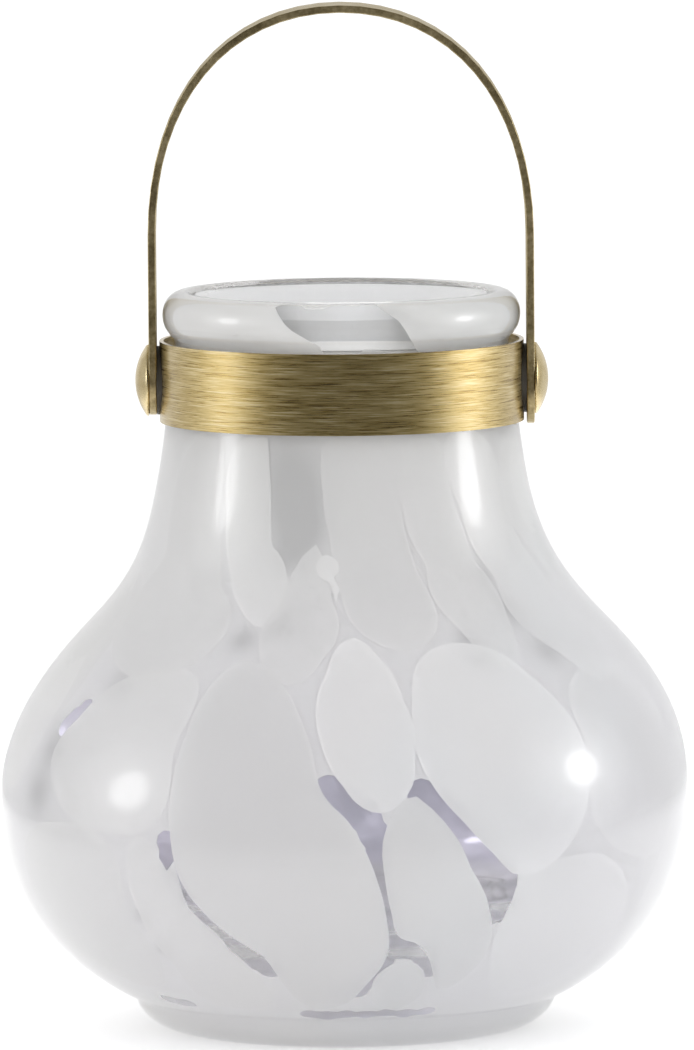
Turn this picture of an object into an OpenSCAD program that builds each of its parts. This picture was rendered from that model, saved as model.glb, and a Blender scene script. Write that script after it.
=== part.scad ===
// Solar art-glass jar lantern: a pear-shaped glass jar with a brass collar round its neck, a swinging
// brass strap handle, and a solar lamp module that lifts out of the mouth.
// Units are millimetres. +Z is up, and the origin is on the ground under the middle of the foot.
// +X is towards the right-hand pivot, and the collar's lap is at the back, at +Y.

/* [Glass jar] */
// Greatest diameter of the bulb
bulb_d = 165; // [160:1:175]
// Height of the bulb's greatest diameter
bulb_z = 55; // [50:1:60]
// Outer diameter of the flat ring that the jar stands on
foot_d = 79; // [74:1:84]
// Diameter at the crease between foot and bulb
crease_d = 100.8; // [97:0.1:105]
// Height of the crease
crease_z = 7.6; // [6:0.1:9]
// Diameter where the bulb's shoulder turns into the neck
shoulder_d = 123; // [118:1:128]
// Height of that turn
shoulder_z = 98.2; // [94:0.1:102]
// Neck diameter at the collar's lower edge
neck_d = 84.1; // [82:0.1:84.4]
// Neck diameter at the root of the lip
root_d = 79.6; // [78.8:0.1:81]
// Greatest diameter of the rolled lip
lip_d = 85.3; // [84:0.1:87]
// Height of the lip's greatest diameter
lip_z = 171; // [169.5:0.1:172]
// Height of the glass
jar_h = 176.4; // [176.1:0.1:177.5]
// Diameter of the ground mouth
mouth_d = 72; // [71.9:0.1:72.4]
// Wall thickness of the bulb
wall = 3; // [2.4:0.1:3.6]

/* [Collar] */
// Height of the collar's lower edge
band_z = 145.4; // [145:0.1:146]
// Width of the collar strip, top to bottom
band_h = 19.2; // [18.4:0.1:19.4]
// Outer diameter of the collar
band_d = 86.8; // [86.6:0.1:86.9]
// Thickness of the collar strip
band_t = 1.0; // [0.8:0.1:1.1]

/* [Handle] */
// Overall height of the lantern with the handle upright
handle_h = 244.6; // [235:0.1:255]
// Height of the pivots
pivot_z = 155.1; // [154.5:0.1:155.6]
// Height where the handle's straight sides turn into the arch
arch_z = 190; // [184:1:200]
// Width of the strap
strap_w = 16.4; // [15:0.1:16.6]
// Thickness of the strap
strap_t = 1.8; // [1.4:0.1:2]
// How much further the strap's right end runs below its pivot than the left end
right_drop = 2.6; // [0:0.1:3]
// Diameter of the rivets' domed heads
rivet_d = 17; // [16:0.1:18]
// Depth of the rivets' domed heads
rivet_h = 3.3; // [2.5:0.1:4]

/* [Solar module] */
// Diameter of the module's housing below its rim
module_d = 66.8; // [66.4:0.1:67.2]
// Side of the square solar cell
cell_w = 43; // [36:1:43]
// Height of the module's underside
base_z = 146.6; // [146.2:0.1:147]
// Travel of the power switch
switch_travel = 2.5; // [2:0.1:2.5]

/* [Hidden] */
$fn = 96;

glass_colour = [0.93, 0.94, 0.97];
brass_colour = [0.76, 0.65, 0.38];
bronze_colour = [0.42, 0.36, 0.22];
steel_colour = [0.7, 0.7, 0.7];
housing_colour = [0.82, 0.83, 0.84];
rubber_colour = [0.88, 0.89, 0.9];
black_colour = [0.08, 0.08, 0.08];

left = -1;
right = 1;
tiny = 0.01;
// Slack between surfaces that slide on each other, and the least gap between neighbours
slide_gap = 0.05;
clear_gap = 0.3;

foot_r = foot_d / 2;
crease_r = crease_d / 2;
bulb_r = bulb_d / 2;
shoulder_r = shoulder_d / 2;
neck_r = neck_d / 2;
root_r = root_d / 2;
root_z = band_z + band_h + 0.2;
lip_r = lip_d / 2;
mouth_r = mouth_d / 2;
// The foot's underside: a shallow hollow inside the ring that it stands on
ring_r = foot_r - 9;
punt_h = 2.4;
floor_z = 8.8;
// The ground mouth runs down to here, and below it the neck widens inside
bore_z = 157;

band_r = band_d / 2;
band_in_r = band_r - band_t;
// The collar strip's lap at the back: the tail lies over the strip's start, after a joggle
lap_angle = 9;
joggle_angle = 6.5;
lap_gap = 0.1;
lap_in_r = band_r + lap_gap;
lap_out_r = lap_in_r + band_t;
lap_hole_r = 1.25;
lap_hole_z = [band_z + 4.8, band_z + band_h - 4.8];

// Pivot hardware, measured outwards from the lantern's axis
shank_r = 2.5;
saddle_x = band_r + 0.6;
strap_in = saddle_x + slide_gap;
strap_out = strap_in + strap_t;
head_x = strap_out + slide_gap;
backing_r = 4;
backing_t = 0.4;
backing_x = band_in_r - 0.25 - backing_t;
tail_t = 0.5;

module_r = module_d / 2;
rim_r = mouth_r - 0.8;
window_top = jar_h - 0.8;
window_t = 2;
rim_z = window_top - window_t;
rim_t = 2.2;
deck_z = rim_z - 4.4;
deck_t = 1.6;
cell_t = 1.8;
housing_wall = 1.6;
housing_in_r = module_r - housing_wall;
base_t = 2.4;
base_top = base_z + base_t;
housing_z = base_top + 0.1;
// The seal sits in a groove round the base's spigot, against the housing's inside
seal_wire_r = 0.5;
seal_r = housing_in_r - seal_wire_r - 0.02;
seal_z = base_top + 1.3;
gasket_z = 158.5;
gasket_h = 10;
screw_ring_r = 27.5;
screw_angles = [30, 150, 270];
post_r = 2.8;
post_top = 160;

board_z = base_top + 4;
board_t = 1.2;
board_r = 27;
board_front_y = -4.6;
lens_r = 9;
lens_wall = 1.2;
lens_z = base_z + 1;
lens_flange_r = lens_r + 1.2;
led_r = 2.5;

// An AAA-size cell lies across the module, in front of the board
battery_y = -11;
battery_z = base_top + 7.5;
battery_r = 5.25;
battery_neg_x = -22;
battery_pos_x = 21.3;
battery_tip_x = 22.5;
contact_t = 0.4;
contact_wall_x = 25.6;
contact_wall_t = 1.4;

switch_x = 14;
switch_y = 12;
switch_size = [8.6, 4.4, 3.8];
slider_rest_x = switch_x - switch_travel / 2;
shoe_size = [2.8, 2.2, 1];
knob_size = [1.8, 1.6, 4.2];
knob_z = base_z - 1.2;

// Points of a cubic curve from start to finish, without the start. Each end's handle says which way
// the curve leaves or arrives there, and how strongly.
function curve(start, leaving, finish, arriving, steps) = [
    for (i = [1:steps])
        let (t = i / steps, s = 1 - t)
        s * s * s * start + 3 * s * s * t * (start + leaving)
            + 3 * s * t * t * (finish - arriving) + t * t * t * finish
];

function polar(r, angle) = [r * cos(angle), r * sin(angle)];

neck_points = concat(
    [[neck_r, band_z]],
    curve([neck_r, band_z], [-0.85, 7], [root_r, root_z], [0.1, 4.6], 6)
);

// The glass outline's outside, from the foot up to the top of the lip
jar_outside = concat(
    [[foot_r, 0]],
    curve([foot_r, 0], [5.2, 0.4], [crease_r, crease_z], [1.1, 4.4], 8),
    curve([crease_r, crease_z], [15, 7], [bulb_r, bulb_z], [0, 26.2], 16),
    curve([bulb_r, bulb_z], [0, 20.2], [shoulder_r, shoulder_z], [-9.7, 10.1], 14),
    curve([shoulder_r, shoulder_z], [-12.4, 13], [neck_r, band_z], [-3.1, 26], 14),
    [for (i = [1:len(neck_points) - 1]) neck_points[i]],
    curve([root_r, root_z], [0.3, 1], [lip_r, lip_z], [0, 4.4], 7),
    curve([lip_r, lip_z], [0, 2.6], [lip_r - 5, jar_h], [-3.2, 0], 7)
);

// The glass outline's inside, from the top of the lip down to the floor
inner_shoulder = [shoulder_r - 0.72 * wall, shoulder_z - 0.69 * wall];
inner_neck = [neck_r - wall, band_z - 1.4];
inner_bulb = [bulb_r - wall, bulb_z];
inner_floor = [crease_r - 7, floor_z + 0.6];
jar_inside = concat(
    [[mouth_r + 1.2, jar_h]],
    curve([mouth_r + 1.2, jar_h], [-0.7, 0], [mouth_r, jar_h - 1.2], [0, -0.7], 4),
    [[mouth_r, bore_z]],
    curve([mouth_r, bore_z], [0, -5], inner_neck, [0, -5], 6),
    curve(inner_neck, [2.9, -24], inner_shoulder, [11.7, -12.2], 12),
    curve(inner_shoulder, [9.3, -9.7], inner_bulb, [0, -19.5], 12),
    curve(inner_bulb, [0, -24.5], inner_floor, [20, 4.6], 14),
    [[0, floor_z]]
);

jar_underside = concat(
    [[0, punt_h]],
    curve([0, punt_h], [14, 0], [ring_r, 0], [9, -1.2], 6)
);

module glass_jar() {
    color(glass_colour, 0.6)
        rotate_extrude()
            polygon(concat(jar_underside, jar_outside, jar_inside));
}

// A triangle from the axis, wide enough to cut a sector out of the collar's plan
module wedge(from_angle, to_angle) {
    reach = 2 * band_r;
    polygon([[0, 0], polar(reach, from_angle), polar(reach, to_angle)]);
}

module ring(outer_r, inner_r) {
    difference() {
        circle(r = outer_r);
        circle(r = inner_r);
    }
}

// The collar in plan: one turn of strip, a joggle, and a tail over the strip's own start
module collar_plan() {
    start_angle = 90 - lap_angle;
    joggle_start = start_angle - joggle_angle;
    overlap = 0.1;
    difference() {
        ring(band_r, band_in_r);
        wedge(joggle_start, start_angle + 0.4);
    }
    polygon([
        polar(band_in_r, joggle_start - overlap),
        polar(band_r, joggle_start - overlap),
        polar(lap_out_r, start_angle - 0.4 + overlap),
        polar(lap_in_r, start_angle - 0.4 + overlap)
    ]);
    intersection() {
        ring(lap_out_r, lap_in_r);
        wedge(start_angle - 0.4, 90 + lap_angle);
    }
}

module collar_band() {
    color(brass_colour)
        difference() {
            translate([0, 0, band_z])
                linear_extrude(height = band_h)
                    collar_plan();
            translate([0, 0, pivot_z])
                rotate([0, 90, 0])
                    cylinder(r = shank_r, h = 4 * band_r, center = true);
            for (z = lap_hole_z)
                translate([0, 0, z])
                    rotate([-90, 0, 0])
                        cylinder(r = lap_hole_r, h = 2 * band_r);
        }
}

module collar_lap_rivets() {
    shank = lap_hole_r - slide_gap;
    color(brass_colour)
        for (z = lap_hole_z)
            translate([0, 0, z])
                rotate([-90, 0, 0]) {
                    translate([0, 0, band_in_r - 0.7])
                        cylinder(r = 2, h = 0.6);
                    translate([0, 0, band_in_r - 0.2])
                        cylinder(r = shank, h = lap_out_r - band_in_r + 0.4);
                    translate([0, 0, lap_out_r])
                        cylinder(r1 = 2.2, r2 = 1.3, h = 0.8);
                }
}

module neck_core(gap) {
    rotate_extrude()
        polygon(concat(
            [[0, band_z]],
            [for (p = neck_points) p + [gap, 0]],
            [[0, root_z]]
        ));
}

// Silicone strip between glass and collar, punched for the rivets and open at the collar's lap
module collar_liner() {
    liner_z = band_z + 1.6;
    liner_h = band_h - 4.8;
    window_r = backing_r + 1.2;
    color(rubber_colour)
        difference() {
            translate([0, 0, liner_z])
                cylinder(r = band_in_r - slide_gap, h = liner_h);
            neck_core(slide_gap);
            translate([0, 0, pivot_z])
                rotate([0, 90, 0])
                    cylinder(r = window_r, h = 4 * band_r, center = true);
            translate([-5, 0, band_z])
                cube([10, band_r, band_h]);
        }
}

// The handle's strip seen from the front: straight sides and a full, slightly squared arch
module arch_outline() {
    fullness = 0.6;
    foot = pivot_z - strap_w / 2 - right_drop - 1;
    function quarter(half_w, top_z) = concat(
        [[half_w, foot], [half_w, arch_z]],
        curve([half_w, arch_z], [0, fullness * (top_z - arch_z)],
            [0, top_z], [-fullness * half_w, 0], 16)
    );
    function both_sides(points) = concat(
        points,
        [for (i = [len(points) - 2:-1:0]) [-points[i][0], points[i][1]]]
    );
    function backwards(points) = [for (i = [len(points) - 1:-1:0]) points[i]];
    polygon(concat(
        both_sides(quarter(strap_out, handle_h)),
        backwards(both_sides(quarter(strap_in, handle_h - strap_t)))
    ));
}

// A round strap end about its pivot, or lower by drop
module strap_end(side, drop) {
    reach = strap_out + 1;
    start_x = side < 0 ? -reach : 0;
    translate([start_x, 0, pivot_z - drop])
        rotate([0, 90, 0])
            cylinder(r = strap_w / 2, h = reach);
    translate([start_x, -strap_w / 2, pivot_z - drop])
        cube([reach, strap_w, drop + tiny]);
}

module handle_strap() {
    color(bronze_colour)
        difference() {
            intersection() {
                rotate([90, 0, 0])
                    linear_extrude(height = strap_w, center = true)
                        arch_outline();
                union() {
                    translate([-strap_out - 1, -strap_w / 2, pivot_z])
                        cube([2 * strap_out + 2, strap_w, handle_h]);
                    strap_end(left, 0);
                    strap_end(right, right_drop);
                }
            }
            translate([0, 0, pivot_z])
                rotate([0, 90, 0])
                    cylinder(r = shank_r + slide_gap, h = 4 * band_r, center = true);
        }
}

// Children are drawn with their +Z turned to point out of the lantern at one pivot
module at_pivot(side) {
    translate([0, 0, pivot_z])
        rotate([0, side * 90, 0])
            children();
}

module pivot_rivet(side) {
    edge_h = 0.5;
    cap_h = rivet_h - edge_h;
    cap_r = (rivet_d * rivet_d / 4 + cap_h * cap_h) / (2 * cap_h);
    tail_x = backing_x - tail_t;
    color(brass_colour)
        at_pivot(side) {
            translate([0, 0, head_x])
                cylinder(d = rivet_d, h = edge_h);
            intersection() {
                translate([0, 0, head_x + rivet_h - cap_r])
                    sphere(r = cap_r);
                translate([0, 0, head_x + edge_h - tiny])
                    cylinder(d = rivet_d, h = cap_h + 1);
            }
            translate([0, 0, tail_x])
                cylinder(r = shank_r - tiny, h = head_x - tail_x + tiny);
            translate([0, 0, tail_x])
                cylinder(r = backing_r - 0.8, h = tail_t);
        }
}

// Saddle washer: flat towards the strap, and hollowed to sit on the round collar
module pivot_washer(side) {
    washer_r = strap_w / 2;
    color(black_colour)
        difference() {
            at_pivot(side)
                translate([0, 0, band_in_r])
                    cylinder(r = washer_r, h = saddle_x - band_in_r);
            translate([0, 0, pivot_z - strap_w])
                cylinder(r = band_r + tiny, h = 2 * strap_w, $fn = 720);
            at_pivot(side)
                cylinder(r = shank_r, h = 2 * band_r);
        }
}

module backing_washer(side) {
    color(steel_colour)
        at_pivot(side)
            translate([0, 0, backing_x])
                difference() {
                    cylinder(r = backing_r, h = backing_t);
                    translate([0, 0, -1])
                        cylinder(r = shank_r, h = 3);
                }
}

module pivot_rivet_left() {
    pivot_rivet(left);
}

module pivot_rivet_right() {
    pivot_rivet(right);
}

module pivot_washer_left() {
    pivot_washer(left);
}

module pivot_washer_right() {
    pivot_washer(right);
}

module backing_washer_left() {
    backing_washer(left);
}

module backing_washer_right() {
    backing_washer(right);
}

module at_screws(angles = screw_angles) {
    for (angle = angles)
        rotate([0, 0, angle])
            translate([screw_ring_r, 0, 0])
                children();
}

module screw_posts() {
    at_screws()
        translate([0, 0, housing_z])
            cylinder(r = post_r, h = post_top - housing_z);
    at_screws()
        translate([0, -1.2, housing_z + 3])
            cube([housing_in_r + 0.5 - screw_ring_r, 2.4, post_top - housing_z - 3]);
}

// Cup with the cell's deck near its top, a rim under the window, and a groove for the gasket
module module_housing() {
    tray_r = housing_in_r;
    groove_rib_r = module_r + 0.8;
    color(housing_colour)
        difference() {
            union() {
                rotate_extrude()
                    polygon([
                        [housing_in_r, housing_z],
                        [module_r, housing_z],
                        [module_r, gasket_z - 1.6],
                        [groove_rib_r, gasket_z - 1.2],
                        [groove_rib_r, gasket_z],
                        [module_r, gasket_z],
                        [module_r, gasket_z + gasket_h],
                        [rim_r, rim_z - rim_t],
                        [rim_r, rim_z],
                        [tray_r, rim_z],
                        [tray_r, deck_z + deck_t],
                        [0, deck_z + deck_t],
                        [0, deck_z],
                        [housing_in_r, deck_z]
                    ]);
                screw_posts();
            }
            at_screws()
                translate([0, 0, housing_z - 1])
                    cylinder(r = 1.2, h = 9);
            for (x = [-4, 4])
                translate([x, 17, deck_z - 1])
                    cylinder(r = 1, h = deck_t + 2);
        }
}

// Three-finned silicone ring round the housing
module mouth_gasket() {
    sleeve_r = module_r + 0.9;
    fin_r = mouth_r - 0.15;
    fin_pitch = 3.1;
    module fin(z) {
        polygon([
            [sleeve_r - 0.3, z],
            [fin_r, z + 0.6],
            [fin_r, z + 1.3],
            [sleeve_r - 0.3, z + 1.9]
        ]);
    }
    color(rubber_colour)
        rotate_extrude() {
            translate([module_r, gasket_z])
                square([sleeve_r - module_r, gasket_h]);
            for (i = [0:2])
                fin(gasket_z + 0.6 + i * fin_pitch);
        }
}

module solar_window() {
    bevel = 0.3;
    color([0.75, 0.78, 0.82], 0.5)
        rotate_extrude()
            polygon([
                [0, rim_z],
                [rim_r - 0.1, rim_z],
                [rim_r - 0.1, window_top - bevel],
                [rim_r - 0.1 - bevel, window_top],
                [0, window_top]
            ]);
}

module solar_cell() {
    color([0.06, 0.08, 0.2])
        translate([-cell_w / 2, -cell_w / 2, deck_z + deck_t])
            cube([cell_w, cell_w, cell_t]);
}

module solar_leads() {
    lead_r = 0.6;
    color([0.6, 0.1, 0.1])
        for (x = [-4, 4])
            translate([x, 17, board_z + board_t])
                cylinder(r = lead_r, h = deck_z + deck_t - board_z - board_t);
}

module circuit_board() {
    color([0.1, 0.35, 0.2])
        difference() {
            translate([0, 0, board_z])
                cylinder(r = board_r, h = board_t);
            translate([-board_r, -2 * board_r + board_front_y, board_z - 1])
                cube([2 * board_r, 2 * board_r, board_t + 2]);
            at_screws([30, 150])
                translate([0, 0, board_z - 1])
                    cylinder(r = post_r + 0.4, h = board_t + 2);
        }
}

module battery_end_wall(side) {
    wall_x = side * (contact_wall_x + contact_wall_t / 2);
    translate([wall_x - contact_wall_t / 2, battery_y - 4, base_top - tiny])
        cube([contact_wall_t, 8, 12]);
}

// Underside of the module, with the battery's cradle, the board's pillars and a spigot
module module_base() {
    cradle_h = battery_z - base_top - 2.5;
    slot_w = switch_travel + knob_size[0] + 0.6;
    color(housing_colour)
        difference() {
            union() {
                translate([0, 0, base_z])
                    cylinder(r = module_r, h = base_t);
                difference() {
                    translate([0, 0, base_top - tiny])
                        cylinder(r = housing_in_r - 0.1, h = 2.5);
                    translate([0, 0, base_top - 1])
                        cylinder(r = housing_in_r - 1.7, h = 4);
                    at_screws()
                        translate([0, 0, base_top - 1])
                            cylinder(r = post_r + clear_gap, h = 5);
                    translate([0, 0, seal_z - seal_wire_r - slide_gap])
                        linear_extrude(height = 2 * (seal_wire_r + slide_gap))
                            ring(housing_in_r, seal_r - seal_wire_r - slide_gap);
                }
                for (x = [-14, 14])
                    translate([x - 1, battery_y - 6, base_top - tiny])
                        cube([2, 12, cradle_h]);
                for (x = [-12, 12])
                    translate([x, 21, base_top - tiny])
                        cylinder(r = 1.6, h = board_z - base_top + tiny);
                battery_end_wall(left);
                battery_end_wall(right);
            }
            translate([0, battery_y, battery_z])
                rotate([0, 90, 0])
                    cylinder(r = battery_r + 0.1, h = 2 * contact_wall_x - 1, center = true);
            translate([0, 0, base_z - 1])
                cylinder(r = lens_r + slide_gap, h = base_t + 2);
            translate([switch_x - slot_w / 2, switch_y - 1, base_z - 1])
                cube([slot_w, 2, base_t + 2]);
            at_screws()
                translate([0, 0, base_z - 1])
                    cylinder(r = 1.4, h = base_t + 2);
            at_screws()
                translate([0, 0, base_z - tiny])
                    cylinder(r = 2.5, h = 1.4);
        }
}

// Sealing ring in the spigot's groove
module base_seal() {
    color(black_colour)
        rotate_extrude()
            translate([seal_r, seal_z])
                circle(r = seal_wire_r, $fn = 24);
}

module base_screws() {
    head_top = base_z + 1.35;
    color(steel_colour)
        at_screws()
            difference() {
                union() {
                    translate([0, 0, base_z + 0.15])
                        cylinder(r1 = 2, r2 = 2.3, h = head_top - base_z - 0.15);
                    translate([0, 0, head_top - tiny])
                        cylinder(r = 1.15, h = 8);
                }
                for (turn = [0, 90])
                    rotate([0, 0, turn])
                        translate([-1.2, -0.25, base_z])
                            cube([2.4, 0.5, 0.8]);
            }
}

module along_battery(x) {
    translate([x, battery_y, battery_z])
        rotate([0, 90, 0])
            children();
}

module battery() {
    color([0.2, 0.5, 0.3]) {
        along_battery(battery_neg_x)
            cylinder(r = battery_r, h = battery_pos_x - battery_neg_x);
        along_battery(battery_pos_x - tiny)
            cylinder(r = 1.9, h = battery_tip_x - battery_pos_x + tiny);
    }
}

module battery_contact_plus() {
    color(steel_colour)
        translate([contact_wall_x - contact_t - slide_gap, battery_y - 3.6, base_top + slide_gap])
            cube([contact_t, 7.2, 11]);
    color(steel_colour)
        along_battery(battery_tip_x + slide_gap)
            cylinder(r1 = 1.2, r2 = 2.4, h = contact_wall_x - contact_t - slide_gap - battery_tip_x);
}

// Round wire wound into a tapering coil along +X, between the end wall and the battery
module coil_wire(start_x, length, start_r, finish_r, turns, wire_r) {
    sides = 8;
    steps = 16 * turns;
    function turn_angle(i) = 360 * turns * i / steps;
    function radial(i) = [0, cos(turn_angle(i)), sin(turn_angle(i))];
    function centre(i) = [start_x + length * i / steps, 0, 0]
        + (start_r + (finish_r - start_r) * i / steps) * radial(i);
    function wire_ring(i) = [
        for (k = [0:sides - 1])
            let (a = 360 * k / sides)
            centre(i) + wire_r * (cos(a) * radial(i) + sin(a) * [1, 0, 0])
    ];
    points = [for (i = [0:steps]) each wire_ring(i)];
    start_cap = [for (k = [sides - 1:-1:0]) k];
    finish_cap = [for (k = [0:sides - 1]) steps * sides + k];
    skin = [
        for (i = [0:steps - 1], k = [0:sides - 1])
            let (next = (k + 1) % sides)
            [i * sides + k, i * sides + next, (i + 1) * sides + next, (i + 1) * sides + k]
    ];
    polyhedron(points = points, faces = concat([start_cap], skin, [finish_cap]));
}

module battery_spring() {
    plate_x = -contact_wall_x + slide_gap;
    color(steel_colour) {
        translate([plate_x, battery_y - 3.6, base_top + slide_gap])
            cube([contact_t, 7.2, 11]);
        translate([0, battery_y, battery_z])
            coil_wire(
                start_x = plate_x + contact_t + 0.2,
                length = battery_neg_x - plate_x - contact_t - 0.6,
                start_r = 3,
                finish_r = 1.8,
                turns = 3,
                wire_r = 0.35
            );
    }
}

module led_lamp() {
    color([0.95, 0.93, 0.8]) {
        translate([0, 0, board_z - 1.1])
            cylinder(r = led_r + 0.4, h = 1);
        translate([0, 0, board_z - 5.6])
            cylinder(r = led_r, h = 5);
        translate([0, 0, board_z - 5.6])
            sphere(r = led_r);
    }
}

// Frosted dome under the lamp, open at the top, with a flange inside the base
module led_lens() {
    inner_r = lens_r - lens_wall;
    color([0.95, 0.95, 0.95], 0.8)
        difference() {
            union() {
                translate([0, 0, lens_z])
                    sphere(r = lens_r);
                translate([0, 0, lens_z])
                    cylinder(r = lens_r, h = base_top + 1.2 - lens_z);
                translate([0, 0, base_top])
                    cylinder(r = lens_flange_r, h = 1.2);
            }
            translate([0, 0, lens_z])
                sphere(r = inner_r);
            translate([0, 0, lens_z])
                cylinder(r = inner_r, h = 2 * lens_r);
        }
}

module switch_body() {
    cavity = [switch_travel + shoe_size[0] + 0.9, shoe_size[1] + 0.4, 1.6];
    body_z = board_z - switch_size[2];
    color([0.25, 0.25, 0.26])
        difference() {
            translate([switch_x - switch_size[0] / 2, switch_y - switch_size[1] / 2, body_z])
                cube(switch_size);
            translate([switch_x - cavity[0] / 2, switch_y - cavity[1] / 2, body_z - tiny])
                cube(cavity);
        }
}

module switch_slider() {
    shoe_z = board_z - switch_size[2] + 0.3;
    color(black_colour) {
        translate([slider_rest_x - shoe_size[0] / 2, switch_y - shoe_size[1] / 2, shoe_z])
            cube(shoe_size);
        translate([slider_rest_x - knob_size[0] / 2, switch_y - knob_size[1] / 2, knob_z])
            cube(knob_size);
    }
}

glass_jar();
collar_band();
collar_lap_rivets();
collar_liner();
handle_strap();
pivot_rivet_left();
pivot_rivet_right();
pivot_washer_left();
pivot_washer_right();
backing_washer_left();
backing_washer_right();
module_housing();
mouth_gasket();
solar_window();
solar_cell();
solar_leads();
circuit_board();
module_base();
base_seal();
base_screws();
battery();
battery_contact_plus();
battery_spring();
led_lamp();
led_lens();
switch_body();
switch_slider();
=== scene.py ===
"""Looks for the solar art-glass jar lantern.

Lengths are in metres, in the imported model's frame: +Z up, the camera on the -Y side, and the origin on
the floor under the jar. Angles round the jar start at the front and grow towards +X.
"""
import math
import random

import bmesh
import bpy
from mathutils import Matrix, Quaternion, Vector, noise


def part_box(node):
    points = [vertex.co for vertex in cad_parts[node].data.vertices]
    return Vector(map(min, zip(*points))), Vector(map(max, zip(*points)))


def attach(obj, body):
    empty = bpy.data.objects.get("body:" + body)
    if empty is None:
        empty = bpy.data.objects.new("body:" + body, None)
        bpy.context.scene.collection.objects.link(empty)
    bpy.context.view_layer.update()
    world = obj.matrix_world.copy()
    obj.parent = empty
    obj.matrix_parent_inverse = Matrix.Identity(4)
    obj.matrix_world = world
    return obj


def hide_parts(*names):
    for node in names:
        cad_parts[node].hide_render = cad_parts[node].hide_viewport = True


MM = 0.001
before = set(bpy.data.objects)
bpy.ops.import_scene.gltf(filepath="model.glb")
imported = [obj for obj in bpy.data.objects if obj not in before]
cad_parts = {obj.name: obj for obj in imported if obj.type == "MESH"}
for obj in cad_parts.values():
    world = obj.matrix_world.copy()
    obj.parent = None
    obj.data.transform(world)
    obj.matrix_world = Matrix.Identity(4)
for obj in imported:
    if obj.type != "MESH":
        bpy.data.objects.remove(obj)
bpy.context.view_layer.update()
scene = bpy.context.scene


# ---------------------------------------------------------------- material building blocks

class Nodes:
    """Short ways to add and join the nodes of one material, of the world or of one light."""

    def __init__(self, owner):
        self.owner = owner
        owner.use_nodes = True
        self.tree = owner.node_tree
        self.tree.nodes.clear()

    def add(self, kind, settings=None, **inputs):
        node = self.tree.nodes.new(kind)
        for key, value in (settings or {}).items():
            setattr(node, key, value)
        for key, value in inputs.items():
            self.put(node, key.replace("_", " "), value)
        return node

    def put(self, node, socket, value):
        target = node.inputs[socket]
        if isinstance(value, bpy.types.NodeSocket):
            self.tree.links.new(value, target)
        else:
            target.default_value = value

    def math(self, operation, first, second=0.0):
        node = self.tree.nodes.new("ShaderNodeMath")
        node.operation = operation
        self.put(node, 0, first)
        self.put(node, 1, second)
        return node.outputs[0]

    def place(self):
        """Where a point of the piece is, in the piece's own frame, as x, y and z."""
        split = self.add("ShaderNodeSeparateXYZ", Vector=self.coordinates("Object"))
        return split.outputs

    def coordinates(self, which):
        return self.add("ShaderNodeTexCoord").outputs[which]

    def stretched(self, vector, scale):
        node = self.add("ShaderNodeMapping", Vector=vector, Scale=scale)
        return node.outputs[0]

    def noise(self, vector, scale, detail=3.0, roughness=0.5):
        node = self.add("ShaderNodeTexNoise", Vector=vector, Scale=scale, Detail=detail, Roughness=roughness)
        return node.outputs["Fac"]

    def ramp(self, factor, stops):
        node = self.add("ShaderNodeValToRGB", Fac=factor)
        elements = node.color_ramp.elements
        while len(elements) < len(stops):
            elements.new(0.5)
        for element, (position, colour) in zip(elements, stops):
            element.position = position
            element.color = (*colour, 1.0)
        return node.outputs["Color"]

    def range(self, value, low, high, new_low, new_high, way="LINEAR"):
        node = self.add("ShaderNodeMapRange", {"interpolation_type": way})
        for socket, number in zip(range(5), (value, low, high, new_low, new_high)):
            self.put(node, socket, number)
        return node.outputs[0]

    def mix(self, factor, first, second, blend="MIX"):
        node = self.add("ShaderNodeMix", {"data_type": "RGBA", "blend_type": blend})
        self.put(node, 0, factor)
        self.put(node, 6, first)
        self.put(node, 7, second)
        return node.outputs[2]

    def bump(self, height, strength, distance):
        node = self.add("ShaderNodeBump", Height=height, Strength=strength, Distance=distance)
        return node.outputs[0]

    def principled(self, **inputs):
        return self.add("ShaderNodeBsdfPrincipled", **inputs).outputs[0]

    def mix_shaders(self, factor, first, second):
        """A shader that is partly the first and partly the second."""
        node = self.add("ShaderNodeMixShader")
        for socket, value in enumerate((factor, first, second)):
            self.put(node, socket, value)
        return node.outputs[0]

    def finish(self, shader, output="ShaderNodeOutputMaterial"):
        self.add(output, Surface=shader)
        return self.owner


def new_material(name):
    return Nodes(bpy.data.materials.new(name))


def grey(value):
    return (value, value, value)


def rgba(red, green, blue):
    return (red, green, blue, 1.0)


# ---------------------------------------------------------------- materials

def brushed_along(nodes, along, across, length, pitch):
    """Noise drawn out into streaks: length along them, pitch across them, in metres."""
    vector = nodes.add("ShaderNodeCombineXYZ")
    nodes.put(vector, 0, nodes.math("MULTIPLY", along, 1 / length))
    nodes.put(vector, 1, nodes.math("MULTIPLY", across, 1 / pitch))
    return nodes.noise(vector.outputs[0], 1.0, 4.0, 0.65)


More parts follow.
